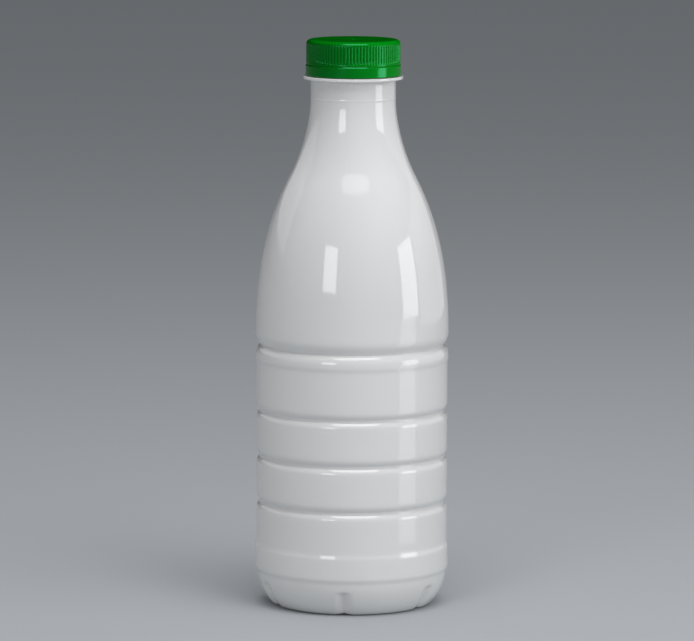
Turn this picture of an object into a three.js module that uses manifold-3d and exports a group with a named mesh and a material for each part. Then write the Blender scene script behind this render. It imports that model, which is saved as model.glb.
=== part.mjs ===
// A blow-moulded plastic drinks bottle, shut with a screw cap that still has its tamper band.
// Sizes are in millimetres, +Z is up, and the origin is the middle of the ring that the bottle stands on.
// The bottle is opaque and shut, so it is solid: its contents can't be seen.
// Outlines are drawn as (radius, height) and turned about Z. Angle 0 faces -Y and grows towards +X.
import * as THREE from "three";
import { mergeVertices } from "three/addons/utils/BufferGeometryUtils.js";
import Module from "manifold-3d";

const wasm = await Module();
wasm.setup();

// Driving sizes
const BODY_RADIUS = 41;
const NECK_RADIUS = 18.2;
const CAP_RADIUS = 20.1;
const TOTAL_HEIGHT = 242.5;
const TURN_SIDES = 60;

// The foot: a flat standing ring round a push-up, and a round heel outside it
const STAND_INNER_RADIUS = 28.6;
const STAND_OUTER_RADIUS = 32.4;
const PUSH_UP_HEIGHT = 6;
const PUSH_UP_FLAT_RADIUS = 16;
const PUSH_UP_WALL_RADIUS = 25.5;
const PUSH_UP_WALL_HEIGHT = 4;
const GATE_RADIUS = 2.4;
const GATE_DROP = 0.8;
const HEEL_ARC_RADIUS = 22;
const HEEL_ARC_INSET = 0.1;
const HEEL_ARC_CENTRE = new THREE.Vector2(BODY_RADIUS - HEEL_ARC_INSET - HEEL_ARC_RADIUS, 16);
const HEEL_ARC_BOTTOM = 1;
const HEEL_ARC_TOP = 14.5;

// Flutes: V-shaped creases that run out in the push-up, cross the standing ring and end short on the heel
const FLUTE_COUNT = 6;
const FLUTE_PHASE = THREE.MathUtils.degToRad(-4.6);
const FLUTE_DEPTH = 1.7;
const FLUTE_FOOT_SHARE = 0.45;
const FLUTE_INNER_RADIUS = 20;
const FLUTE_FULL_HEIGHT = 6;
const FLUTE_TOP = 11;
const FLUTE_END = 1.5;

// The heel band, the bead under the shoulder and the shoulder's own foot stand out from the body
const HEEL_BAND_SWELL = 0.5;
const SHOULDER_SWELL = 0.35;
const HEEL_BAND_BOTTOM = 16.1;
const HEEL_BAND_TOP = 25.2;
const HEEL_BAND_CHAMFER = 1.7;
const BEAD_HEIGHT = 107.2;
const BEAD_HALF_HEIGHT = 3.4;

// Grooves round the body: three evenly spaced ones, and one under the shoulder
const GROOVE_DEPTH = 1.25;
const GROOVE_HALF_WIDTH = 3.6;
const GROOVE_FLOOR_HALF_WIDTH = 0.5;
const GROOVE_FIRST = 44.5;
const GROOVE_PITCH = 19.7;
const GROOVE_COUNT = 3;
const SHOULDER_GROOVE = 112;
const SHOULDER_GROOVE_DEPTH = 1.7;
const SHOULDER_TUCK = 5.4;

// How far each end of a groove's flank runs upright, as a share of the flank's height
const GROOVE_LIP = 0.75;
const GROOVE_FLOOR = 0.15;
const BEAD_LIP = 0.8;
const BEAD_FLOOR = 0.08;
const TUCK_FLOOR = 0.15;
const TUCK_LIP = 0.65;

// The shoulder: domed from the body up to the turn, then hollow up to the neck
const SHOULDER_RADIUS = BODY_RADIUS + SHOULDER_SWELL;
const SHOULDER_DOME_HANDLE = 33.4;
const TURN_HEIGHT = 184.2;
const TURN_RADIUS = 26.9;
const TURN_DIRECTION = new THREE.Vector2(-0.516, 1).normalize();
const TURN_LOWER_HANDLE = 15;
const TURN_UPPER_HANDLE = 12.8;
const NECK_FOOT = 216.6;
const NECK_FOOT_HANDLE = 8;

// The neck: a fine ridge where the blown part starts, the support ring, and the finish inside the cap
const RIDGE_SWELL = 0.08;
const RIDGE_HEIGHT = 217.4;
const RIDGE_HALF_HEIGHT = 0.6;
const RING_RADIUS = 21.3;
const RING_BOTTOM = 225.7;
const RING_TOP = 227;
const RING_EDGE = 0.35;
const RING_FILLET = 0.9;

// The cap and its band fit over the neck with a running gap
const GAP = 0.3;
const BORE_RADIUS = NECK_RADIUS + GAP;
const BAND_RADIUS = 20.35;
const BAND_HEIGHT = 4.5;
const BAND_BEVEL_WIDTH = 0.3;
const BAND_BEVEL_HEIGHT = 0.5;
const SLIT = 0.3;
const BRIDGE_COUNT = 10;
const BRIDGE_WIDTH = 0.8;
const BRIDGE_DEPTH = 0.9;
const BRIDGE_CLEARANCE = 0.1;
const BAND_BOTTOM = RING_TOP + GAP;
const CAP_BOTTOM = BAND_BOTTOM + BAND_HEIGHT + SLIT;
const CAP_HEIGHT = TOTAL_HEIGHT - CAP_BOTTOM;
const CAP_ROOF = 1.6;
const CAP_LIP_RADIUS = 20.15;
const CAP_LIP_HEIGHT = 1.4;
const CAP_EDGE_RADIUS = 2;
const KNURL_COUNT = 90;
const KNURL_DEPTH = 0.38;
const KNURL_BOTTOM = 1.8;
const KNURL_TOP = 8;
const KNURL_RUNOUT = 0.4;
const FINISH_TOP = TOTAL_HEIGHT - CAP_ROOF - GAP;

// How many straight steps stand for each curve of an outline
const FOOT_STEPS = 3;
const GROOVE_STEPS = 3;
const BEAD_STEPS = 3;
const DOME_STEPS = 10;
const HOLLOW_STEPS = 6;
const CAP_EDGE_STEPS = 3;

const MERGE_DISTANCE = 1e-3;

const whitePlastic = new THREE.MeshStandardMaterial({ color: 0xe4e4e2, roughness: 0.22, metalness: 0 });
const greenPlastic = new THREE.MeshStandardMaterial({ color: 0x0b7f2c, roughness: 0.32, metalness: 0 });

const at = (radius, height) => new THREE.Vector2(radius, height);

// Points along a curve, without its first one, which the stretch before it has already given
const follow = (curve, steps) => curve.getPoints(steps).slice(1);

const bend = (from, handleOut, handleIn, to) => new THREE.CubicBezierCurve(from, handleOut, handleIn, to);

// A curve that leaves and arrives upright, each end for a share of the height between
function uprightBend(from, to, fromReach, toReach) {
  const rise = to.y - from.y;
  return bend(from, at(from.x, from.y + fromReach * rise), at(to.x, to.y - toReach * rise), to);
}

// Turns an outline about Z. Every so many columns, the inset outline takes the place of the plain one.
function turned(outline, sides, inset = outline, every = 1) {
  const geometry = new THREE.LatheGeometry(outline, sides);
  const position = geometry.attributes.position;
  for (let column = 0; column <= sides; column += every) {
    const angle = (column / sides) * 2 * Math.PI;
    inset.forEach((p, row) => {
      position.setXYZ(column * inset.length + row, p.x * Math.sin(angle), p.y, p.x * Math.cos(angle));
    });
  }
  return geometry.rotateX(Math.PI / 2);
}

function solidOf(geometry) {
  const bare = geometry.clone();
  bare.deleteAttribute("normal");
  bare.deleteAttribute("uv");
  const merged = mergeVertices(bare, MERGE_DISTANCE);
  const vertProperties = merged.attributes.position.array;
  const triVerts = Uint32Array.from(merged.index.array);
  return new wasm.Manifold(new wasm.Mesh({ numProp: 3, vertProperties, triVerts }));
}

function geometryOf(solid) {
  const { vertProperties, triVerts } = solid.getMesh();
  const geometry = new THREE.BufferGeometry();
  geometry.setAttribute("position", new THREE.BufferAttribute(vertProperties, 3));
  geometry.setIndex(new THREE.BufferAttribute(triVerts, 1));
  geometry.computeVertexNormals();
  return geometry;
}

// The foot's outline from the middle of the push-up, over the standing ring, to the top of the heel
function footOutline() {
  const arcAngle = (height) => Math.asin((height - HEEL_ARC_CENTRE.y) / HEEL_ARC_RADIUS);
  const arcStart = arcAngle(HEEL_ARC_BOTTOM);
  const arcFoot = HEEL_ARC_CENTRE.x + HEEL_ARC_RADIUS * Math.cos(arcStart);
  const foot = new THREE.Path();
  foot.moveTo(GATE_RADIUS, PUSH_UP_HEIGHT);
  foot.bezierCurveTo(
    PUSH_UP_FLAT_RADIUS, PUSH_UP_HEIGHT,
    PUSH_UP_WALL_RADIUS, PUSH_UP_WALL_HEIGHT,
    STAND_INNER_RADIUS, 0,
  );
  foot.lineTo(STAND_OUTER_RADIUS, 0);
  foot.quadraticCurveTo((STAND_OUTER_RADIUS + arcFoot) / 2, 0, arcFoot, HEEL_ARC_BOTTOM);
  foot.absarc(HEEL_ARC_CENTRE.x, HEEL_ARC_CENTRE.y, HEEL_ARC_RADIUS, arcStart, arcAngle(HEEL_ARC_TOP));
  return foot;
}

// One groove round the body, from its lower lip to its upper lip
function groove(height) {
  const lip = (side) => at(BODY_RADIUS, height + side * GROOVE_HALF_WIDTH);
  const floor = (side) => at(BODY_RADIUS - GROOVE_DEPTH, height + side * GROOVE_FLOOR_HALF_WIDTH);
  return [
    lip(-1),
    ...follow(uprightBend(lip(-1), floor(-1), GROOVE_LIP, GROOVE_FLOOR), GROOVE_STEPS),
    floor(1),
    ...follow(uprightBend(floor(1), lip(1), GROOVE_FLOOR, GROOVE_LIP), GROOVE_STEPS),
  ];
}

function bodyOutline() {
  const grooves = Array.from({ length: GROOVE_COUNT }, (_, i) => GROOVE_FIRST + i * GROOVE_PITCH);
  const beadFoot = at(BODY_RADIUS, BEAD_HEIGHT - BEAD_HALF_HEIGHT);
  const beadCrest = at(SHOULDER_RADIUS, BEAD_HEIGHT);
  const tuckFloor = at(BODY_RADIUS - SHOULDER_GROOVE_DEPTH, SHOULDER_GROOVE);
  const shoulderFoot = at(SHOULDER_RADIUS, SHOULDER_GROOVE + SHOULDER_TUCK);
  return [
    at(BODY_RADIUS + HEEL_BAND_SWELL, HEEL_BAND_BOTTOM),
    at(BODY_RADIUS + HEEL_BAND_SWELL, HEEL_BAND_TOP),
    at(BODY_RADIUS, HEEL_BAND_TOP + HEEL_BAND_CHAMFER),
    ...grooves.flatMap(groove),
    beadFoot,
    ...follow(uprightBend(beadFoot, beadCrest, 0.5, 0.5), BEAD_STEPS),
    ...follow(uprightBend(beadCrest, tuckFloor, BEAD_LIP, BEAD_FLOOR), GROOVE_STEPS),
    ...follow(uprightBend(tuckFloor, shoulderFoot, TUCK_FLOOR, TUCK_LIP), GROOVE_STEPS),
  ];
}

function shoulderOutline() {
  const foot = at(SHOULDER_RADIUS, SHOULDER_GROOVE + SHOULDER_TUCK);
  const turn = at(TURN_RADIUS, TURN_HEIGHT);
  const neck = at(NECK_RADIUS, NECK_FOOT);
  const along = (reach) => TURN_DIRECTION.clone().multiplyScalar(reach).add(turn);
  const dome = bend(foot, at(foot.x, foot.y + SHOULDER_DOME_HANDLE), along(-TURN_LOWER_HANDLE), turn);
  const hollow = bend(turn, along(TURN_UPPER_HANDLE), at(neck.x, neck.y - NECK_FOOT_HANDLE), neck);
  return [...follow(dome, DOME_STEPS), ...follow(hollow, HOLLOW_STEPS)];
}

function neckOutline() {
  return [
    at(NECK_RADIUS + RIDGE_SWELL, RIDGE_HEIGHT),
    at(NECK_RADIUS, RIDGE_HEIGHT + RIDGE_HALF_HEIGHT),
    at(NECK_RADIUS, RING_BOTTOM - RING_FILLET),
    at(NECK_RADIUS + RING_FILLET, RING_BOTTOM),
    at(RING_RADIUS - RING_EDGE, RING_BOTTOM),
    at(RING_RADIUS, RING_BOTTOM + RING_EDGE),
    at(RING_RADIUS, RING_TOP - RING_EDGE),
    at(RING_RADIUS - RING_EDGE, RING_TOP),
    at(NECK_RADIUS, RING_TOP),
    at(NECK_RADIUS, FINISH_TOP),
    at(0, FINISH_TOP),
  ];
}

// How much of the full flute depth there is at a point of the foot's outline
function fluteShare(point) {
  const { lerp, smoothstep } = THREE.MathUtils;
  const outward = smoothstep(point.x, FLUTE_INNER_RADIUS, STAND_INNER_RADIUS);
  const upward = lerp(FLUTE_FOOT_SHARE, 1, smoothstep(point.y, 0, FLUTE_FULL_HEIGHT));
  const belowEnd = 1 - smoothstep(point.y, FLUTE_TOP - FLUTE_END, FLUTE_TOP);
  return outward * upward * belowEnd;
}

// The foot's outline along the bottom of a flute: pulled into the bottle, square to the plain outline
function creased(outline) {
  return outline.map((point, i) => {
    const before = outline[Math.max(i - 1, 0)];
    const after = outline[Math.min(i + 1, outline.length - 1)];
    const along = after.clone().sub(before).normalize();
    return point.clone().addScaledVector(at(-along.y, along.x), FLUTE_DEPTH * fluteShare(point));
  });
}

function makeBottle() {
  const gate = [at(0, PUSH_UP_HEIGHT - GATE_DROP), at(GATE_RADIUS, PUSH_UP_HEIGHT - GATE_DROP)];
  const foot = footOutline().getPoints(FOOT_STEPS);
  const upper = [...bodyOutline(), ...shoulderOutline(), ...neckOutline()];
  const outline = [...gate, ...foot, ...upper];
  const inset = [...gate, ...creased(foot), ...upper];
  const geometry = turned(outline, TURN_SIDES, inset, TURN_SIDES / FLUTE_COUNT);
  const bottle = new THREE.Mesh(geometry, whitePlastic);
  bottle.name = "bottle";
  bottle.rotation.z = FLUTE_PHASE;
  return bottle;
}

function makeCap() {
  const edge = new THREE.EllipseCurve(
    CAP_RADIUS - CAP_EDGE_RADIUS, CAP_HEIGHT - CAP_EDGE_RADIUS,
    CAP_EDGE_RADIUS, CAP_EDGE_RADIUS,
    0, Math.PI / 2,
  );
  const outline = (wallRadius) => [
    at(0, CAP_HEIGHT - CAP_ROOF),
    at(BORE_RADIUS, CAP_HEIGHT - CAP_ROOF),
    at(BORE_RADIUS, 0),
    at(CAP_LIP_RADIUS, 0),
    at(CAP_LIP_RADIUS, CAP_LIP_HEIGHT),
    at(wallRadius, KNURL_BOTTOM),
    at(wallRadius, KNURL_TOP),
    at(CAP_RADIUS, KNURL_TOP + KNURL_RUNOUT),
    ...follow(edge, CAP_EDGE_STEPS),
    at(0, CAP_HEIGHT),
  ];
  const crests = outline(CAP_RADIUS);
  const valleys = outline(CAP_RADIUS - KNURL_DEPTH);
  const cap = new THREE.Mesh(turned(crests, 2 * KNURL_COUNT, valleys, 2), greenPlastic);
  cap.name = "screw_cap";
  cap.position.z = CAP_BOTTOM;
  return cap;
}

// The band keeps the small bridges that hold it to the cap until the bottle is first opened
function makeTamperBand() {
  const outline = [
    at(BORE_RADIUS, 0),
    at(BAND_RADIUS, 0),
    at(BAND_RADIUS, BAND_HEIGHT - BAND_BEVEL_HEIGHT),
    at(BAND_RADIUS - BAND_BEVEL_WIDTH, BAND_HEIGHT),
    at(BORE_RADIUS, BAND_HEIGHT),
    at(BORE_RADIUS, 0),
  ];
  const bridgeHeight = SLIT - BRIDGE_CLEARANCE;
  const bridgeRadius = BORE_RADIUS + BRIDGE_DEPTH / 2 + BRIDGE_CLEARANCE;
  let solid = solidOf(turned(outline, TURN_SIDES));
  for (let i = 0; i < BRIDGE_COUNT; i++) {
    const bridge = new THREE.BoxGeometry(BRIDGE_WIDTH, BRIDGE_DEPTH, 2 * bridgeHeight);
    bridge.translate(0, -bridgeRadius, BAND_HEIGHT);
    bridge.rotateZ(((i + 0.5) * 2 * Math.PI) / BRIDGE_COUNT);
    solid = solid.add(solidOf(bridge));
  }
  const band = new THREE.Mesh(geometryOf(solid), greenPlastic);
  band.name = "tamper_band";
  band.position.z = BAND_BOTTOM;
  return band;
}

const root = new THREE.Group();
root.add(makeBottle(), makeCap(), makeTamperBand());

export default root;
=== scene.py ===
"""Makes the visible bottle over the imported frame: a glossy white blow-moulded bottle, its ribbed green
screw cap and the tamper band under the cap. Lengths are in metres, +Z is up, and -Y faces the camera."""

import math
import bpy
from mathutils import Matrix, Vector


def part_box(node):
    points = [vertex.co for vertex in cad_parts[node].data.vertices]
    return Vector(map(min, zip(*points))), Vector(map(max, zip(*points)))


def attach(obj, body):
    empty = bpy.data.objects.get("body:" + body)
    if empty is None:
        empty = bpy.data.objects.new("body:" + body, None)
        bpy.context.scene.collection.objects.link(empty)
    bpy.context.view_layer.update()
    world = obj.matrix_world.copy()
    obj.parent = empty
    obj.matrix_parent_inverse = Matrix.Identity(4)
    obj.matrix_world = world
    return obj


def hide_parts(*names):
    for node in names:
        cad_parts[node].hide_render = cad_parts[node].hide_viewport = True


bl_info = {
    "name": "Milk Bottle",
    "version": (1, 0, 0),
    "blender": (4, 5, 0),
    "location": "3D View > Sidebar > Milk Bottle",
    "description": "Makes a white plastic milk bottle with a green screw cap, and a studio to show it in",
    "category": "Add Mesh",
}

import bpy
from bpy.props import FloatProperty, FloatVectorProperty, IntProperty, PointerProperty
from mathutils import Quaternion, Vector
from mathutils.geometry import interpolate_bezier

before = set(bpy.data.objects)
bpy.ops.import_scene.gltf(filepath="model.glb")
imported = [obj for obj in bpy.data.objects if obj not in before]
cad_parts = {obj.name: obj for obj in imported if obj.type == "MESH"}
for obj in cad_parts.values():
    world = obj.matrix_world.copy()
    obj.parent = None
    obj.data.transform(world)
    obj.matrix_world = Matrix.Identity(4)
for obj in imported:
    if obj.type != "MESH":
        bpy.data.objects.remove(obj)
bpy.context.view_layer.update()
BOTTLE_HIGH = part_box("bottle")[1]
CAP_LOW, CAP_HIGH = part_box("screw_cap")
BAND_LOW, BAND_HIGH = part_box("tamper_band")

MM = 0.001

# How finely the outlines and the turned surfaces are divided
LONGEST_STEP = 2.2 * MM
CAP_STEP = 0.8 * MM
BAND_STEP = 0.25 * MM
CURVE_STEPS = 8
SHOULDER_STEPS = 26
HEEL_STEPS = 16
CAP_EDGE_STEPS = 10
CORNER_STEPS = 4
BOTTLE_SIDES = 312
KNURL_SIDES = 10
BAND_SIDES = 720
MERGE_DISTANCE = 0.001 * MM

# The foot's moulding mark and hollow, and the rise from the standing ring to the heel band
GATE_RADIUS = 2.4 * MM
GATE_DROP = 0.8 * MM
GATE_TRIM = 0.25 * MM
PUSH_UP_FLAT = 16 * MM
PUSH_UP_WALL = Vector((25.5 * MM, 4 * MM))
STAND_TRIM = 1.2 * MM
HEEL_INSET = 0.1 * MM
HEEL_START = 1 * MM
KNEE_PULL = 2 / 3
BAND_TRIM = 0.8 * MM

# Flutes and unevenness of the blown wall
FLUTE_SHARPNESS = 1.3
UNEVEN_SCALE = 40.0

# How far each end of a curve runs upright, as a share of its height
EVEN_REACH = 0.5
GROOVE_LIP = 0.75
GROOVE_FLOOR = 0.15
BEAD_LIP = 0.8
BEAD_FLOOR = 0.08
TUCK_FLOOR = 0.15
TUCK_LIP = 0.65

# Handles of the shoulder's curves
DOME_HANDLE = 33.4 * MM
TURN_DIRECTION = Vector((-0.516, 1.0)).normalized()
TURN_LOWER_HANDLE = 15 * MM
TURN_UPPER_HANDLE = 12.8 * MM
NECK_HANDLE = 8 * MM

# Neck, cap and band details
RIDGE_RISE = 0.8 * MM
RING_FILLET = 0.9 * MM
RING_TRIM = 0.3 * MM
CAP_TRIM = 0.2 * MM
LIP_FLARE = 0.05 * MM
LIP_TRIM = 0.05 * MM
VALLEY_SHARPNESS = 3.0
BEVEL_TRIM = 0.15 * MM
BRIDGE_FADE = 0.1 * MM

# Grain of the finishes: features per metre, heights, how far the gloss varies, and refraction
CLOUD_SCALE = 30.0
SKIN_SCALE = 700.0
SKIN_HEIGHT = 0.0006 * MM
WHITE_GLOSS_RANGE = 0.04
WHITE_IOR = 1.57
FLOW_SCALE = 120.0
GRAIN_SCALE = 1500.0
GRAIN_HEIGHT = 0.001 * MM
GREEN_GLOSS_RANGE = 0.08
GREEN_IOR = 1.7

# Stage: lights as the gloss of the photographed bottle shows them, by angle in degrees and size in metres.
# A gloss card shows only in reflections, and a matt fill shows in none. Some lights leave the cap and its
# band out, or light them alone.
SOFTBOXES = {
    "left_box": {"azimuth": -27.9, "elevation": 13.1, "distance": 1.5, "size": (0.44, 0.42)},
    "right_box": {"azimuth": 73.5, "elevation": 7.4, "distance": 1.0, "size": (0.4, 0.375)},
    "low_card": {
        "azimuth": 65.0, "elevation": -17.8, "distance": 0.236, "size": (0.085, 0.12), "kind": "gloss",
    },
    "side_card": {
        "azimuth": 116.0, "elevation": 8.0, "distance": 1.2, "size": (1.28, 0.6), "kind": "gloss",
        "cap": "EXCLUDE",
    },
    "rim_card": {
        "azimuth": -125.0, "elevation": 20.0, "distance": 1.2, "size": (1.1, 0.46), "kind": "gloss",
        "cap": "EXCLUDE",
    },
    "glow_card": {
        "azimuth": 6.0, "elevation": 50.0, "distance": 1.6, "size": (1.15, 0.34), "kind": "gloss",
        "shape": "ELLIPSE",
    },
    "top_box": {"azimuth": 7.5, "elevation": 64.0, "distance": 1.6, "size": (1.2, 0.62)},
    "front_fill": {
        "azimuth": 40.0, "elevation": 35.0, "distance": 1.5, "size": (0.9, 0.9), "kind": "matt",
        "cap": "EXCLUDE",
    },
    "roof_fill": {"azimuth": 0.0, "elevation": 88.0, "distance": 1.5, "size": (0.9, 0.9), "kind": "matt"},
    "cap_fill": {
        "azimuth": 62.0, "elevation": 42.0, "distance": 1.5, "size": (0.9, 0.9), "kind": "matt",
        "cap": "INCLUDE",
    },
}
CAP_PIECES = ("ribbed_cap", "band_with_bridges")
BOX_AIM = 0.13
FLOOR_REACH = 15.0

# The photograph's frame, the place of the bottle's axis in it, and its focal length
PHOTO_WIDTH = 694
PHOTO_HEIGHT = 641
AXIS_PIXEL_X = 352.2
AXIS_PIXEL_Y = 326.0
FOCAL_PIXELS = 4850
SENSOR_WIDTH = 36.0


def length(name, description, default):
    """A property that holds a length in metres."""
    return FloatProperty(name=name, description=description, default=default, unit="LENGTH", precision=4)


def colour(name, description, default):
    """A property that holds a linear colour."""
    return FloatVectorProperty(
        name=name, description=description, default=default, subtype="COLOR", min=0.0, max=1.0
    )


def share(name, description, default):
    """A property that holds a number from 0 to 1."""
    return FloatProperty(
        name=name, description=description, default=default, subtype="FACTOR", min=0.0, max=1.0
    )


def angle(name, description, degrees):
    """A property that holds an angle."""
    return FloatProperty(name=name, description=description, default=math.radians(degrees), subtype="ANGLE")


def power(name, description, watts):
    """A property that holds a light's power."""
    return FloatProperty(name=name, description=description, default=watts, unit="POWER")


class BottleSizes(bpy.types.PropertyGroup):
    """Sizes of the blow-moulded bottle"""

    widest_radius: length("Heel band radius", "Radius where the bottle is widest", BOTTLE_HIGH.x)
    heel_swell: length("Heel band swell", "How far the heel band stands out from the body", 0.5 * MM)
    shoulder_swell: length("Shoulder swell", "How far bead and shoulder stand out from the body", 0.35 * MM)
    stand_inner: length("Standing ring, inner", "Inner radius of the flat ring it stands on", 28.6 * MM)
    stand_outer: length("Standing ring, outer", "Outer radius of the flat ring it stands on", 32.4 * MM)
    push_up: length("Push-up", "Height of the hollow in the foot", 6 * MM)
    heel_radius: length("Heel radius", "Radius of the rounded heel", 22 * MM)
    heel_centre: length("Heel centre", "Height of the middle of the heel's arc", 16 * MM)
    heel_top: length("Heel top", "Height at which the rounded heel ends", 14.5 * MM)
    band_bottom: length("Heel band bottom", "Height of the heel band's lower edge", 16.1 * MM)
    band_top: length("Heel band top", "Height of the heel band's upper edge", 25.2 * MM)
    band_chamfer: length("Heel band slope", "Height of the slope from heel band to body", 1.7 * MM)
    flute_count: IntProperty(name="Flutes", description="Creases round the foot", default=6, min=1)
    flute_angle: angle("Flute angle", "Angle of one flute from the front, towards the right", -4.6)
    flute_depth: length("Flute depth", "Depth of a flute on the heel", 1.7 * MM)
    flute_foot: share("Flute foot share", "Share of the depth that a flute has at the standing ring", 0.45)
    flute_width: length("Flute half width", "Half the width of a flute", 3.8 * MM)
    flute_inner: length("Flute inner end", "Radius at which a flute runs out in the push-up", 20 * MM)
    flute_full: length("Flute full height", "Height from which a flute has its full depth", 6 * MM)
    flute_top: length("Flute top", "Height at which a flute ends on the heel", 11 * MM)
    flute_end: length("Flute end", "Height over which a flute ends", 1.5 * MM)
    groove_count: IntProperty(name="Grooves", description="Even grooves round the body", default=3, min=1)
    groove_first: length("First groove", "Height of the lowest groove", 44.5 * MM)
    groove_pitch: length("Groove pitch", "Height from one groove to the next", 19.7 * MM)
    groove_depth: length("Groove depth", "Depth of a groove", 1.25 * MM)
    groove_width: length("Groove half width", "Half the width of a groove, with its rounded lips", 3.6 * MM)
    groove_floor: length("Groove floor half width", "Half the width of a groove's floor", 0.5 * MM)
    bead_height: length("Bead height", "Height of the bead's crest", 107.2 * MM)
    bead_rise: length("Bead rise", "Height from the bead's foot to its crest", 3.4 * MM)
    shoulder_groove: length("Shoulder groove", "Height of the groove under the shoulder", 112 * MM)
    shoulder_groove_depth: length("Shoulder groove depth", "Depth of that groove from the body", 1.7 * MM)
    shoulder_foot: length("Shoulder foot", "Height at which the shoulder starts", 117.4 * MM)
    turn_height: length("Turn height", "Height where the shoulder turns from domed to hollow", 184.2 * MM)
    turn_radius: length("Turn radius", "Radius where the shoulder turns", 26.9 * MM)
    neck_foot: length("Neck foot", "Height at which the neck starts", 216.6 * MM)
    neck_radius: length("Neck radius", "Radius of the neck", 18.2 * MM)
    ridge: length("Neck ridge", "How far the fine ridge at the neck's foot stands out", 0.08 * MM)
    ring_radius: length("Support ring radius", "Radius of the ring under the tamper band", 21.3 * MM)
    ring_bottom: length("Support ring bottom", "Height of the ring's underside", 225.7 * MM)
    ring_top: length("Support ring top", "Height of the ring's upper side", 227 * MM)
    unevenness: length("Unevenness", "How far the blown wall strays from its true shape", 0.05 * MM)


class CapSizes(bpy.types.PropertyGroup):
    """Sizes of the screw cap and of its tamper band"""

    wall_radius: length("Wall radius", "Radius of the cap's wall over the ribs", CAP_HIGH.x - LIP_FLARE)
    lip_flare: length("Lip flare", "How far the cap's lower lip stands out from its wall", LIP_FLARE)
    bore_radius: length("Bore radius", "Inner radius of cap and band", 18.5 * MM)
    roof: length("Roof", "Thickness of the cap's top", 1.6 * MM)
    edge_radius: length("Edge radius", "Rounding of the cap's top edge", 2 * MM)
    lip_height: length("Lip height", "Height of the lower lip", 0.5 * MM)
    lip_slope: length("Lip slope", "Height of the slope from lip to wall", 0.2 * MM)
    knurl_count: IntProperty(name="Knurls", description="Ribs round the cap", default=90, min=3)
    knurl_depth: length("Knurl depth", "Depth of the valleys between the ribs", 0.38 * MM)
    knurl_bottom: length("Knurl bottom", "Height of the ribs' lower end above the cap's foot", 1.5 * MM)
    knurl_top: length("Knurl top", "Height of the ribs' upper end above the cap's foot", 8.2 * MM)
    knurl_runout: length("Knurl run-out", "Length over which the ribs fade", 0.7 * MM)
    gate_radius: length("Gate radius", "Radius of the moulding mark in the middle of the top", 1.2 * MM)
    gate_depth: length("Gate depth", "Depth of the moulding mark", 0.15 * MM)
    band_radius: length("Band radius", "Outer radius of the tamper band", BAND_HIGH.x)
    bevel_width: length("Bevel width", "Width of the bevel on the band's upper edge", 0.3 * MM)
    bevel_height: length("Bevel height", "Height of the bevel on the band's upper edge", 0.5 * MM)
    bridge_count: IntProperty(name="Bridges", description="Bridges from band to cap", default=10, min=1)
    bridge_width: length("Bridge width", "Width of a bridge", 0.8 * MM)
    bridge_height: length("Bridge height", "Height of a bridge", 0.03 * MM)


class Finishes(bpy.types.PropertyGroup):
    """Colours and gloss of the plastics"""

    white: colour("White", "Colour of the bottle", (0.80, 0.80, 0.80))
    white_shade: colour("White shade", "Colour of the bottle's thinner places", (0.765, 0.765, 0.76))
    white_roughness: share("White roughness", "Roughness of the bottle's gloss", 0.055)
    green: colour("Green", "Colour of cap and band", (0.0, 0.135, 0.004))
    green_shade: colour("Green shade", "Colour of the cap's flow marks", (0.0, 0.114, 0.0026))
    green_gloss: colour("Green gloss", "Tint of the cap's reflections", (0.14, 1.0, 0.52))
    green_roughness: share("Green roughness", "Roughness of the cap's gloss", 0.15)
    parting_angle: angle("Parting angle", "Angle of the mould's parting line from the front", -2.5)
    parting_height: length("Parting height", "Height of the mould's parting line", 0.006 * MM)
    parting_width: length("Parting half width", "Half the width of the parting line", 0.35 * MM)


class StageSettings(bpy.types.PropertyGroup):
    """Floor, light and camera"""

    floor: colour("Floor", "Colour of the floor", (0.44, 0.46, 0.48))
    ambient: colour("Ambient", "Colour of the light from all round", (0.285, 0.29, 0.297))
    left_box: power("Left box", "Power of the left softbox", 2.3)
    right_box: power("Right box", "Power of the right softbox", 1.58)
    low_card: power("Low card", "Power of the card under the right softbox", 0.035)
    side_card: power("Side card", "Power of the card on the right", 1.5)
    rim_card: power("Rim card", "Power of the card on the left", 0.9)
    glow_card: power("Glow card", "Power of the card in front and above", 1.4)
    top_box: power("Top box", "Power of the wide softbox in front and above", 8.4)
    front_fill: power("Front fill", "Power of the fill light in front", 5.0)
    roof_fill: power("Roof fill", "Power of the fill light overhead", 5.4)
    cap_fill: power("Cap fill", "Power of the fill light for cap and band alone", 33.0)
    elevation: angle("Camera elevation", "Angle of the camera above the horizon", 7.6)
    distance: length("Camera distance", "Distance from the camera to the point it is set by", 2.077)
    aim_height: length("Aim height", "Height of the point that the camera is set by", 0.1195)
    roll: angle("Camera roll", "Turn of the camera about its line of sight", 0.25)


class Value:
    """One number of a node tree. Maths on it adds Math nodes, so that a formula reads as Python."""

    def __init__(self, graph, socket):
        self.graph = graph
        self.socket = socket

    def __add__(self, other):
        return self.graph.math("ADD", self, other)

    def __radd__(self, other):
        return self.graph.math("ADD", other, self)

    def __sub__(self, other):
        return self.graph.math("SUBTRACT", self, other)

    def __rsub__(self, other):
        return self.graph.math("SUBTRACT", other, self)

    def __mul__(self, other):
        return self.graph.math("MULTIPLY", self, other)

    def __rmul__(self, other):
        return self.graph.math("MULTIPLY", other, self)

    def __truediv__(self, other):
        return self.graph.math("DIVIDE", self, other)

    def __rtruediv__(self, other):
        return self.graph.math("DIVIDE", other, self)

    def __pow__(self, other):
        return self.graph.math("POWER", self, other)

    def __rpow__(self, other):
        return self.graph.math("POWER", other, self)

    def __gt__(self, other):
        return self.graph.math("GREATER_THAN", self, other)

    def __lt__(self, other):
        return self.graph.math("LESS_THAN", self, other)

    def __neg__(self):
        return self.graph.math("MULTIPLY", self, -1.0)

    def __abs__(self):
        return self.graph.math("ABSOLUTE", self)


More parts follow.
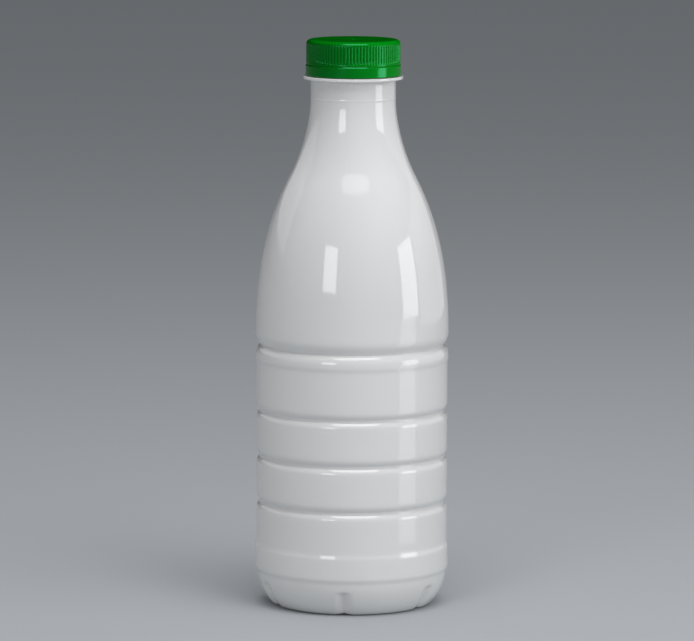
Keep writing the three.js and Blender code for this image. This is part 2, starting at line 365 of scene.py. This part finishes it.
class Graph:
    """Adds nodes to one node tree, for shaders and for geometry alike."""

    NODE_STEP = 190

    def __init__(self, tree):
        self.tree = tree

    def add(self, kind, settings=None, inputs=None):
        """A new node: its settings first, then the value or the link of each input named or numbered."""
        node = self.tree.nodes.new(kind)
        node.location.x = self.NODE_STEP * len(self.tree.nodes)
        for name, value in (settings or {}).items():
            setattr(node, name, value)
        for key, value in (inputs or {}).items():
            self.feed(node.inputs[key], value)
        return node

    def feed(self, socket, value):
        """Links an input to a socket or a Value, or sets it to a constant."""
        source = value.socket if isinstance(value, Value) else value
        if isinstance(source, bpy.types.NodeSocket):
            self.tree.links.new(source, socket)
        else:
            socket.default_value = source

    def value(self, socket):
        """An output that Python maths can be done on."""
        return Value(self, socket)

    def math(self, operation, *terms):
        """The result of one Math node."""
        node = self.add("ShaderNodeMath", {"operation": operation}, dict(enumerate(terms)))
        return self.value(node.outputs[0])

    def smooth(self, value, low, high):
        """0 below low, 1 above high, and a smooth rise between them."""
        ends = {0: value, 1: low, 2: high, 3: 0.0, 4: 1.0}
        node = self.add("ShaderNodeMapRange", {"interpolation_type": "SMOOTHSTEP"}, ends)
        return self.value(node.outputs[0])

    def split(self, vector):
        """The three numbers of a vector."""
        node = self.add("ShaderNodeSeparateXYZ", inputs={0: vector})
        return [self.value(output) for output in node.outputs]

    def join(self, x, y, z):
        """The vector of three numbers."""
        return self.add("ShaderNodeCombineXYZ", inputs={0: x, 1: y, 2: z}).outputs[0]

    def polar(self, vector):
        """Radius, angle from -Y towards +X, and height of a place."""
        x, y, z = self.split(vector)
        return self.math("SQRT", x * x + y * y), self.math("ARCTAN2", x, -y), z

    def noise(self, vector, scale):
        """Noise from 0 to 1, with features of about 1 / scale."""
        node = self.add("ShaderNodeTexNoise", inputs={"Vector": vector, "Scale": scale})
        return self.value(node.outputs[0])


class GeometryGraph(Graph):
    """A Geometry Nodes tree with named inputs and one geometry output."""

    SOCKET_KINDS = {
        bpy.types.Object: "NodeSocketObject",
        bpy.types.Material: "NodeSocketMaterial",
        int: "NodeSocketInt",
        float: "NodeSocketFloat",
    }

    def __init__(self, name, inputs):
        super().__init__(bpy.data.node_groups.new(name, "GeometryNodeTree"))
        interface = self.tree.interface
        interface.new_socket("Geometry", in_out="OUTPUT", socket_type="NodeSocketGeometry")
        self.values = {}
        for input_name, value in inputs.items():
            kind = self.SOCKET_KINDS[type(value)]
            socket = interface.new_socket(input_name, in_out="INPUT", socket_type=kind)
            self.values[socket.identifier] = value
        self.group_input = self.add("NodeGroupInput")

    def given(self, name):
        """One of the tree's inputs."""
        return self.value(self.group_input.outputs[name])

    def place(self):
        """The position of each point."""
        return self.add("GeometryNodeInputPosition").outputs[0]

    def moved(self, geometry, socket, vector):
        """The geometry with its points set to a Position or moved by an Offset."""
        return self.add("GeometryNodeSetPosition", inputs={"Geometry": geometry, socket: vector}).outputs[0]

    def turned(self):
        """The outline turned about Z into a closed surface, its first column at the given angle."""
        info = self.add("GeometryNodeObjectInfo", inputs={"Object": self.given("Outline")})
        outline = info.outputs["Geometry"]
        size = self.add("GeometryNodeAttributeDomainSize", {"component": "CURVE"}, {"Geometry": outline})
        rows = self.value(size.outputs["Point Count"])
        sheet = {"Size X": 1.0, "Size Y": 1.0, "Vertices X": self.given("Sides") + 1, "Vertices Y": rows}
        grid = self.add("GeometryNodeMeshGrid", inputs=sheet).outputs["Mesh"]
        place = self.place()
        across, along, _ = self.split(place)
        row = self.math("ROUND", (along + 0.5) * (rows - 1))
        read = {"Geometry": outline, "Value": place, "Index": row}
        sample = self.add("GeometryNodeSampleIndex", {"data_type": "FLOAT_VECTOR"}, read)
        radius, _, height = self.split(sample.outputs[0])
        turn = (across + 0.5) * math.tau + self.given("First Angle")
        spot = self.join(radius * self.math("SINE", turn), -(radius * self.math("COSINE", turn)), height)
        merge = {"Geometry": self.moved(grid, "Position", spot), "Distance": MERGE_DISTANCE}
        return self.add("GeometryNodeMergeByDistance", inputs=merge).outputs[0]

    def arc_apart(self, radius, turn, count):
        """Distance along the circle to the nearest of so many even places from the first angle."""
        pitch = math.tau / count
        steps = (turn - self.given("First Angle")) / pitch
        return abs(steps - self.math("ROUND", steps)) * pitch * radius

    def finish(self, geometry):
        """The geometry leaves the tree with smooth faces and its material."""
        smooth = self.add("GeometryNodeSetShadeSmooth", inputs={"Geometry": geometry}).outputs[0]
        real = self.add("GeometryNodeRealizeInstances", inputs={"Geometry": smooth}).outputs[0]
        dress = {"Geometry": real, "Material": self.given("Material")}
        dressed = self.add("GeometryNodeSetMaterial", inputs=dress).outputs[0]
        self.add("NodeGroupOutput", inputs={0: dressed})


def baked(name, graph):
    """A new object with the plain mesh that a Geometry Nodes tree makes."""
    piece = bpy.data.objects.new(name, bpy.data.meshes.new(name + "_empty"))
    bpy.context.scene.collection.objects.link(piece)
    modifier = piece.modifiers.new(name, "NODES")
    modifier.node_group = graph.tree
    for identifier, value in graph.values.items():
        modifier[identifier] = value
    depsgraph = bpy.context.evaluated_depsgraph_get()
    mesh = bpy.data.meshes.new_from_object(piece.evaluated_get(depsgraph), depsgraph=depsgraph)
    piece.modifiers.remove(modifier)
    empty = piece.data
    piece.data = mesh
    bpy.data.meshes.remove(empty)
    mesh.name = name
    if not mesh.polygons:
        raise RuntimeError(f"{name} came out empty")
    return piece


# Outlines are lists of (radius, height) points


def at(radius, height):
    """One point of an outline."""
    return Vector((radius, height))


def bend(start, start_handle, end_handle, end, steps=CURVE_STEPS):
    """Points along a curve with two handles."""
    return interpolate_bezier(start, start_handle, end_handle, end, steps + 1)


def s_bend(start, end, start_reach, end_reach):
    """Points along a curve that leaves and arrives upright, each end for a share of the height between."""
    rise = end.y - start.y
    return bend(start, at(start.x, start.y + start_reach * rise), at(end.x, end.y - end_reach * rise), end)


def rounded(corners):
    """Points along straight stretches from (radius, height, trim) corners, each rounded over its trim."""
    points = []
    for i, (radius, height, trim) in enumerate(corners):
        corner = at(radius, height)
        if not trim:
            points.append(corner)
            continue
        before = corner + (at(*corners[i - 1][:2]) - corner).normalized() * trim
        after = corner + (at(*corners[i + 1][:2]) - corner).normalized() * trim
        for step in range(CORNER_STEPS + 1):
            t = step / CORNER_STEPS
            points.append(before.lerp(corner, t).lerp(corner.lerp(after, t), t))
    return points


def joined(*stretches, longest=LONGEST_STEP):
    """One outline from several stretches, without doubled points and with long steps divided."""
    outline = [stretches[0][0]]
    for point in (p for stretch in stretches for p in stretch):
        start = outline[-1]
        gap = (point - start).length
        if gap < MERGE_DISTANCE:
            continue
        parts = math.ceil(gap / longest)
        outline.extend(start.lerp(point, (i + 1) / parts) for i in range(parts))
    return outline


def outline_object(name, points):
    """A curve object through an outline's points, in the XZ plane."""
    curve = bpy.data.curves.new(name, "CURVE")
    curve.dimensions = "3D"
    spline = curve.splines.new("POLY")
    spline.points.add(len(points) - 1)
    for spot, point in zip(spline.points, points):
        spot.co = (point.x, 0.0, point.y, 1.0)
    drawn = bpy.data.objects.new(name, curve)
    bpy.context.scene.collection.objects.link(drawn)
    return drawn


def foot_outline(sizes, body_radius):
    """From the middle of the push-up, over the standing ring, to the top of the heel."""
    gate_height = sizes.push_up - GATE_DROP
    gate = rounded([
        (0.0, gate_height, 0.0),
        (GATE_RADIUS, gate_height, GATE_TRIM),
        (GATE_RADIUS, sizes.push_up, GATE_TRIM),
        (GATE_RADIUS + GATE_DROP, sizes.push_up, 0.0),
    ])
    stand = at(sizes.stand_inner, 0.0)
    lip = stand + (PUSH_UP_WALL - stand).normalized() * STAND_TRIM
    dome = bend(gate[-1], at(PUSH_UP_FLAT, sizes.push_up), PUSH_UP_WALL, lip)
    ring = rounded([(*PUSH_UP_WALL, 0.0), (*stand, STAND_TRIM), (sizes.stand_outer, 0.0, 0.0)])[1:]
    centre = at(body_radius - HEEL_INSET - sizes.heel_radius, sizes.heel_centre)
    lowest = math.asin((HEEL_START - centre.y) / sizes.heel_radius)
    highest = math.asin((sizes.heel_top - centre.y) / sizes.heel_radius)
    turns = [lowest + (highest - lowest) * i / HEEL_STEPS for i in range(HEEL_STEPS + 1)]
    heel = [centre + sizes.heel_radius * at(math.cos(turn), math.sin(turn)) for turn in turns]
    knee = at((sizes.stand_outer + heel[0].x) / 2, 0.0)
    rise = bend(ring[-1], ring[-1].lerp(knee, KNEE_PULL), heel[0].lerp(knee, KNEE_PULL), heel[0])
    return joined(gate, dome, ring, rise, heel)


def groove_outline(sizes, body_radius, height):
    """One groove round the body, from its lower lip to its upper lip."""
    lower_lip, upper_lip = (at(body_radius, height + side * sizes.groove_width) for side in (-1, 1))
    floor_radius = body_radius - sizes.groove_depth
    lower_floor, upper_floor = (at(floor_radius, height + side * sizes.groove_floor) for side in (-1, 1))
    lower_flank = s_bend(lower_lip, lower_floor, GROOVE_LIP, GROOVE_FLOOR)
    upper_flank = s_bend(upper_floor, upper_lip, GROOVE_FLOOR, GROOVE_LIP)
    return lower_flank + upper_flank


def body_outline(sizes, body_radius, heel_end):
    """The heel band, the grooved body, the bead and the groove under the shoulder."""
    widest = sizes.widest_radius
    heel_band = rounded([
        (*heel_end, 0.0),
        (widest, sizes.band_bottom, BAND_TRIM),
        (widest, sizes.band_top, BAND_TRIM),
        (body_radius, sizes.band_top + sizes.band_chamfer, BAND_TRIM),
        (body_radius, sizes.groove_first - sizes.groove_width, 0.0),
    ])
    heights = [sizes.groove_first + i * sizes.groove_pitch for i in range(sizes.groove_count)]
    grooves = [groove_outline(sizes, body_radius, height) for height in heights]
    bead_foot = at(body_radius, sizes.bead_height - sizes.bead_rise)
    bead_crest = at(body_radius + sizes.shoulder_swell, sizes.bead_height)
    tuck = at(body_radius - sizes.shoulder_groove_depth, sizes.shoulder_groove)
    shoulder = at(body_radius + sizes.shoulder_swell, sizes.shoulder_foot)
    return joined(
        heel_band,
        *grooves,
        s_bend(bead_foot, bead_crest, EVEN_REACH, EVEN_REACH),
        s_bend(bead_crest, tuck, BEAD_LIP, BEAD_FLOOR),
        s_bend(tuck, shoulder, TUCK_FLOOR, TUCK_LIP),
    )


def shoulder_outline(sizes, body_radius):
    """The shoulder, domed up to its turn and hollow from there to the neck."""
    foot = at(body_radius + sizes.shoulder_swell, sizes.shoulder_foot)
    turn = at(sizes.turn_radius, sizes.turn_height)
    neck = at(sizes.neck_radius, sizes.neck_foot)
    below_turn = turn - TURN_DIRECTION * TURN_LOWER_HANDLE
    above_turn = turn + TURN_DIRECTION * TURN_UPPER_HANDLE
    dome = bend(foot, foot + at(0.0, DOME_HANDLE), below_turn, turn, SHOULDER_STEPS)
    hollow = bend(turn, above_turn, neck - at(0.0, NECK_HANDLE), neck, SHOULDER_STEPS)
    return joined(dome, hollow)


def neck_outline(sizes):
    """The neck with its fine ridge, the support ring, and the plain finish inside the cap."""
    foot = at(sizes.neck_radius, sizes.neck_foot)
    crest = foot + at(sizes.ridge, RIDGE_RISE)
    top = foot + at(0.0, 2 * RIDGE_RISE)
    finish_top = BOTTLE_HIGH.z
    upper = rounded([
        (*top, 0.0),
        (sizes.neck_radius, sizes.ring_bottom, RING_FILLET),
        (sizes.ring_radius, sizes.ring_bottom, RING_TRIM),
        (sizes.ring_radius, sizes.ring_top, RING_TRIM),
        (sizes.neck_radius, sizes.ring_top, RING_TRIM),
        (sizes.neck_radius, finish_top, RING_TRIM),
        (0.0, finish_top, 0.0),
    ])
    lower_flank = s_bend(foot, crest, EVEN_REACH, EVEN_REACH)
    upper_flank = s_bend(crest, top, EVEN_REACH, EVEN_REACH)
    return joined(lower_flank, upper_flank, upper)


def bottle_outline(sizes):
    """The whole bottle, from the middle of the push-up to the middle of the finish's top."""
    body_radius = sizes.widest_radius - sizes.heel_swell
    foot = foot_outline(sizes, body_radius)
    body = body_outline(sizes, body_radius, foot[-1])
    return joined(foot, body, shoulder_outline(sizes, body_radius), neck_outline(sizes))


def cap_outline(sizes):
    """From the middle of the roof's underside, round the lip, to the middle of the top."""
    wall, lip = sizes.wall_radius, sizes.wall_radius + sizes.lip_flare
    bottom, top = CAP_LOW.z, CAP_HIGH.z
    edge = at(wall - sizes.edge_radius, top - sizes.edge_radius)
    turns = [math.pi / 2 * i / CAP_EDGE_STEPS for i in range(CAP_EDGE_STEPS + 1)]
    inside_and_wall = rounded([
        (0.0, top - sizes.roof, 0.0),
        (sizes.bore_radius, top - sizes.roof, CAP_TRIM),
        (sizes.bore_radius, bottom, CAP_TRIM),
        (lip, bottom, LIP_TRIM),
        (lip, bottom + sizes.lip_height, LIP_TRIM),
        (wall, bottom + sizes.lip_height + sizes.lip_slope, LIP_TRIM),
        (wall, edge.y, 0.0),
    ])
    top_edge = [edge + sizes.edge_radius * at(math.cos(turn), math.sin(turn)) for turn in turns]
    gate = rounded([
        (edge.x, top, 0.0),
        (sizes.gate_radius, top, sizes.gate_depth),
        (sizes.gate_radius - sizes.gate_depth, top - sizes.gate_depth, sizes.gate_depth / 2),
        (0.0, top - sizes.gate_depth, 0.0),
    ])
    return joined(inside_and_wall, top_edge, gate, longest=CAP_STEP)


def band_outline(sizes):
    """Once round the tamper band's section, from the bore and back to it."""
    bottom, top = BAND_LOW.z, BAND_HIGH.z - sizes.bridge_height
    start = (sizes.bore_radius, (bottom + top) / 2, 0.0)
    section = rounded([
        start,
        (sizes.bore_radius, bottom, CAP_TRIM),
        (sizes.band_radius, bottom, CAP_TRIM),
        (sizes.band_radius, top - sizes.bevel_height, BEVEL_TRIM),
        (sizes.band_radius - sizes.bevel_width, top, LIP_TRIM),
        (sizes.bore_radius, top, CAP_TRIM / 2),
        start,
    ])
    return joined(section, longest=BAND_STEP)


# Geometry Nodes trees


def bottle_tree(outline, sizes, material):
    """The turned bottle, creased by its flutes and a little uneven, as a blown wall is."""
    graph = GeometryGraph("Blown bottle", {
        "Outline": outline,
        "Sides": BOTTLE_SIDES,
        "First Angle": sizes.flute_angle,
        "Flutes": sizes.flute_count,
        "Flute Depth": sizes.flute_depth,
        "Flute Foot Share": sizes.flute_foot,
        "Flute Half Width": sizes.flute_width,
        "Flute Inner End": sizes.flute_inner,
        "Standing Ring": sizes.stand_inner,
        "Flute Full Height": sizes.flute_full,
        "Flute Top": sizes.flute_top,
        "Flute End": sizes.flute_end,
        "Unevenness": sizes.unevenness,
        "Material": material,
    })
    surface = graph.turned()
    place = graph.place()
    radius, turn, height = graph.polar(place)
    apart = graph.arc_apart(radius, turn, graph.given("Flutes"))
    foot_share, top = graph.given("Flute Foot Share"), graph.given("Flute Top")
    outward = graph.smooth(radius, graph.given("Flute Inner End"), graph.given("Standing Ring"))
    upward = foot_share + (1 - foot_share) * graph.smooth(height, 0.0, graph.given("Flute Full Height"))
    below_end = 1 - graph.smooth(height, top - graph.given("Flute End"), top)
    crease = graph.math("MAXIMUM", 1 - apart / graph.given("Flute Half Width"), 0.0) ** FLUTE_SHARPNESS
    flute = graph.given("Flute Depth") * outward * upward * below_end * crease
    stray = (graph.noise(place, UNEVEN_SCALE) - 0.5) * 2 * graph.given("Unevenness")
    above_floor = graph.smooth(height, 0.0, top)
    normal = graph.add("GeometryNodeInputNormal").outputs[0]
    push = {"Vector": normal, "Scale": stray * above_floor - flute}
    offset = graph.add("ShaderNodeVectorMath", {"operation": "SCALE"}, push).outputs[0]
    graph.finish(graph.moved(surface, "Offset", offset))
    return graph


def cap_tree(outline, sizes, material):
    """The turned cap, with the valleys between its ribs pressed into the wall."""
    graph = GeometryGraph("Knurled cap", {
        "Outline": outline,
        "Sides": sizes.knurl_count * KNURL_SIDES,
        "First Angle": 0.0,
        "Knurls": sizes.knurl_count,
        "Knurl Depth": sizes.knurl_depth,
        "Knurl Bottom": CAP_LOW.z + sizes.knurl_bottom,
        "Knurl Top": CAP_LOW.z + sizes.knurl_top,
        "Knurl Run Out": sizes.knurl_runout,
        "Inside Radius": (sizes.bore_radius + sizes.wall_radius) / 2,
        "Material": material,
    })
    surface = graph.turned()
    radius, turn, height = graph.polar(graph.place())
    bottom, top, fade = (graph.given(name) for name in ("Knurl Bottom", "Knurl Top", "Knurl Run Out"))
    ends = graph.smooth(height, bottom - fade, bottom) - graph.smooth(height, top, top + fade)
    valley = ((1 + graph.math("COSINE", turn * graph.given("Knurls"))) / 2) ** VALLEY_SHARPNESS
    outside = radius > graph.given("Inside Radius")
    depth = graph.given("Knurl Depth") * valley * ends * outside
    offset = graph.join(-(depth * graph.math("SINE", turn)), depth * graph.math("COSINE", turn), 0.0)
    graph.finish(graph.moved(surface, "Offset", offset))
    return graph


def band_tree(outline, sizes, material):
    """The turned tamper band, with its bridges raised from the upper edge."""
    graph = GeometryGraph("Tamper band", {
        "Outline": outline,
        "Sides": BAND_SIDES,
        "First Angle": math.pi / sizes.bridge_count,
        "Bridges": sizes.bridge_count,
        "Bridge Half Width": sizes.bridge_width / 2,
        "Bridge Height": sizes.bridge_height,
        "Upper Edge": BAND_HIGH.z - sizes.bridge_height,
        "Material": material,
    })
    surface = graph.turned()
    radius, turn, height = graph.polar(graph.place())
    apart = graph.arc_apart(radius, turn, graph.given("Bridges"))
    half_width = graph.given("Bridge Half Width")
    beside = graph.smooth(apart, half_width - BRIDGE_FADE, half_width + BRIDGE_FADE)
    on_edge = height > graph.given("Upper Edge") - MERGE_DISTANCE
    rise = graph.given("Bridge Height") * (1 - beside) * on_edge
    graph.finish(graph.moved(surface, "Offset", graph.join(0.0, 0.0, rise)))
    return graph


# Finishes


def new_material(name):
    """A material, the graph of its nodes, and its surface shader."""
    material = bpy.data.materials.new(name)
    material.use_nodes = True
    return material, Graph(material.node_tree), material.node_tree.nodes["Principled BSDF"]


def blend_colours(graph, factor, first, second):
    """A colour between two others."""
    ends = {0: factor, 6: (*first, 1.0), 7: (*second, 1.0)}
    return graph.add("ShaderNodeMix", {"data_type": "RGBA"}, ends).outputs[2]


def bump(graph, height):
    """Normals of a surface raised by a height in metres."""
    relief = {"Strength": 1.0, "Distance": 1.0, "Height": height}
    return graph.add("ShaderNodeBump", inputs=relief).outputs[0]


def white_plastic(look):
    """Glossy opaque plastic with cloudy thick and thin places, a fine skin and the mould's parting line."""
    material, graph, surface = new_material("white_blown_plastic")
    place = graph.add("ShaderNodeTexCoord").outputs["Object"]
    cloud = graph.noise(place, CLOUD_SCALE)
    skin = graph.noise(place, SKIN_SCALE)
    x, y, _ = graph.split(place)
    off_line = abs(x * math.cos(look.parting_angle) + y * math.sin(look.parting_angle))
    parting = 1 - graph.smooth(off_line, 0.0, look.parting_width)
    graph.feed(surface.inputs["Base Color"], blend_colours(graph, cloud, look.white_shade, look.white))
    graph.feed(surface.inputs["Roughness"], look.white_roughness + WHITE_GLOSS_RANGE * (cloud - 0.5))
    graph.feed(surface.inputs["Normal"], bump(graph, parting * look.parting_height + skin * SKIN_HEIGHT))
    graph.feed(surface.inputs["IOR"], WHITE_IOR)
    return material


def green_plastic(look):
    """Satin moulded plastic with faint flow marks and a fine grain."""
    material, graph, surface = new_material("green_moulded_plastic")
    place = graph.add("ShaderNodeTexCoord").outputs["Object"]
    flow = graph.noise(place, FLOW_SCALE)
    grain = graph.noise(place, GRAIN_SCALE)
    graph.feed(surface.inputs["Base Color"], blend_colours(graph, flow, look.green_shade, look.green))
    graph.feed(surface.inputs["Roughness"], look.green_roughness + GREEN_GLOSS_RANGE * (flow - 0.5))
    graph.feed(surface.inputs["Normal"], bump(graph, grain * GRAIN_HEIGHT))
    graph.feed(surface.inputs["IOR"], GREEN_IOR)
    graph.feed(surface.inputs["Specular Tint"], (*look.green_gloss, 1.0))
    return material


def shared_green(look):
    """The cap and the band are moulded from one plastic."""
    return bpy.data.materials.get("green_moulded_plastic") or green_plastic(look)


# Operators


def make_piece(name, node, outline_points, tree, sizes, material):
    """Turns an outline into a finished piece that stands for a CAD node."""
    outline = outline_object(name + "_outline", outline_points)
    piece = baked(name, tree(outline, sizes, material))
    curve = outline.data
    bpy.data.objects.remove(outline)
    bpy.data.curves.remove(curve)
    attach(piece, "root")
    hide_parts(node)


class MILKBOTTLE_OT_make_bottle(bpy.types.Operator):
    """Make the blown white bottle"""

    bl_idname = "milk_bottle.make_bottle"
    bl_label = "Make Bottle"

    def execute(self, context):
        sizes = context.scene.bottle_sizes
        material = white_plastic(context.scene.bottle_finishes)
        make_piece("bottle_wall", "bottle", bottle_outline(sizes), bottle_tree, sizes, material)
        return {"FINISHED"}


class MILKBOTTLE_OT_make_cap(bpy.types.Operator):
    """Make the ribbed screw cap"""

    bl_idname = "milk_bottle.make_cap"
    bl_label = "Make Screw Cap"

    def execute(self, context):
        sizes = context.scene.bottle_cap_sizes
        material = shared_green(context.scene.bottle_finishes)
        make_piece("ribbed_cap", "screw_cap", cap_outline(sizes), cap_tree, sizes, material)
        return {"FINISHED"}


class MILKBOTTLE_OT_make_band(bpy.types.Operator):
    """Make the tamper band and its bridges"""

    bl_idname = "milk_bottle.make_band"
    bl_label = "Make Tamper Band"

    def execute(self, context):
        sizes = context.scene.bottle_cap_sizes
        material = shared_green(context.scene.bottle_finishes)
        make_piece("band_with_bridges", "tamper_band", band_outline(sizes), band_tree, sizes, material)
        return {"FINISHED"}


def make_floor(settings):
    """A wide pale floor under the bottle."""
    signs = ((-1, -1), (1, -1), (1, 1), (-1, 1))
    corners = [(x * FLOOR_REACH, y * FLOOR_REACH, 0.0) for x, y in signs]
    mesh = bpy.data.meshes.new("floor")
    mesh.from_pydata(corners, [], [(0, 1, 2, 3)])
    material, graph, surface = new_material("floor_paint")
    graph.feed(surface.inputs["Base Color"], (*settings.floor, 1.0))
    graph.feed(surface.inputs["Specular IOR Level"], 0.0)
    mesh.materials.append(material)
    floor = bpy.data.objects.new("floor", mesh)
    bpy.context.scene.collection.objects.link(floor)


def direction(azimuth, elevation):
    """Unit vector towards an angle from the front, towards the right, and an angle above the horizon."""
    flat = math.cos(elevation)
    return Vector((math.sin(azimuth) * flat, -math.cos(azimuth) * flat, math.sin(elevation)))


def link_to_cap(lamp, state):
    """Keeps a light off the cap and its band, or to them alone."""
    pieces = bpy.data.collections.new(lamp.name + "_reach")
    for name in CAP_PIECES:
        pieces.objects.link(bpy.data.objects[name])
    for row in pieces.collection_objects:
        row.light_linking.link_state = state
    lamp.light_linking.receiver_collection = pieces


def make_softbox(name, box, watts):
    """A flat light that faces the middle of the bottle."""
    light = bpy.data.lights.new(name, "AREA")
    light.shape = box.get("shape", "RECTANGLE")
    light.size, light.size_y = box["size"]
    light.energy = watts
    lamp = bpy.data.objects.new(name, light)
    towards = direction(math.radians(box["azimuth"]), math.radians(box["elevation"]))
    lamp.location = Vector((0.0, 0.0, BOX_AIM)) + towards * box["distance"]
    lamp.rotation_euler = towards.to_track_quat("Z", "Y").to_euler()
    lamp.visible_camera = False
    kind = box.get("kind")
    lamp.visible_glossy = kind != "matt"
    lamp.visible_diffuse = kind != "gloss"
    bpy.context.scene.collection.objects.link(lamp)
    if "cap" in box:
        link_to_cap(lamp, box["cap"])


def make_ambient(settings):
    """Even light from all round."""
    world = bpy.data.worlds.new("studio")
    world.use_nodes = True
    sky = world.node_tree.nodes["Background"]
    Graph(world.node_tree).feed(sky.inputs["Color"], (*settings.ambient, 1.0))
    bpy.context.scene.world = world
    world.cycles_visibility.glossy = False


def make_camera(settings):
    """A long lens at the photograph's viewing angle, with the bottle's axis where the photograph has it."""
    data = bpy.data.cameras.new("camera")
    data.sensor_fit = "HORIZONTAL"
    data.sensor_width = SENSOR_WIDTH
    data.lens = FOCAL_PIXELS / PHOTO_WIDTH * SENSOR_WIDTH
    data.clip_end = 2 * FLOOR_REACH
    camera = bpy.data.objects.new("camera", data)
    back = direction(0.0, settings.elevation)
    camera.location = Vector((0.0, 0.0, settings.aim_height)) + back * settings.distance
    swing = Quaternion((0.0, 1.0, 0.0), math.atan((AXIS_PIXEL_X - PHOTO_WIDTH / 2) / FOCAL_PIXELS))
    tilt = Quaternion((1.0, 0.0, 0.0), math.atan((AXIS_PIXEL_Y - PHOTO_HEIGHT / 2) / FOCAL_PIXELS))
    roll = Quaternion((0.0, 0.0, 1.0), settings.roll)
    camera.rotation_mode = "QUATERNION"
    camera.rotation_quaternion = back.to_track_quat("Z", "Y") @ roll @ swing @ tilt
    bpy.context.scene.collection.objects.link(camera)
    bpy.context.scene.camera = camera


class MILKBOTTLE_OT_set_stage(bpy.types.Operator):
    """Make the floor, the soft lights and the camera"""

    bl_idname = "milk_bottle.set_stage"
    bl_label = "Set Stage"

    def execute(self, context):
        settings = context.scene.bottle_stage
        make_floor(settings)
        for name, box in SOFTBOXES.items():
            make_softbox(name, box, getattr(settings, name))
        make_ambient(settings)
        make_camera(settings)
        context.scene.view_settings.view_transform = "Standard"
        return {"FINISHED"}


class MILKBOTTLE_PT_sidebar(bpy.types.Panel):
    """Lists what makes the bottle, and its sizes and colours"""

    bl_idname = "MILKBOTTLE_PT_sidebar"
    bl_label = "Milk Bottle"
    bl_space_type = "VIEW_3D"
    bl_region_type = "UI"
    bl_category = "Milk Bottle"

    def draw(self, context):
        for operator in OPERATORS:
            self.layout.operator(operator.bl_idname)
        for name in SETTINGS:
            group = getattr(context.scene, name)
            box = self.layout.box()
            for key in group.__annotations__:
                box.prop(group, key)


SETTINGS = {
    "bottle_sizes": BottleSizes,
    "bottle_cap_sizes": CapSizes,
    "bottle_finishes": Finishes,
    "bottle_stage": StageSettings,
}
OPERATORS = (
    MILKBOTTLE_OT_make_bottle,
    MILKBOTTLE_OT_make_cap,
    MILKBOTTLE_OT_make_band,
    MILKBOTTLE_OT_set_stage,
)
CLASSES = (*SETTINGS.values(), *OPERATORS, MILKBOTTLE_PT_sidebar)


def register():
    for kind in CLASSES:
        bpy.utils.register_class(kind)
    for name, kind in SETTINGS.items():
        setattr(bpy.types.Scene, name, PointerProperty(type=kind))


def unregister():
    for name in SETTINGS:
        delattr(bpy.types.Scene, name)
    for kind in reversed(CLASSES):
        bpy.utils.unregister_class(kind)


def main():
    register()
    bpy.ops.milk_bottle.make_bottle()
    bpy.ops.milk_bottle.make_cap()
    bpy.ops.milk_bottle.make_band()
    bpy.ops.milk_bottle.set_stage()


if __name__ == "__main__":
    main()
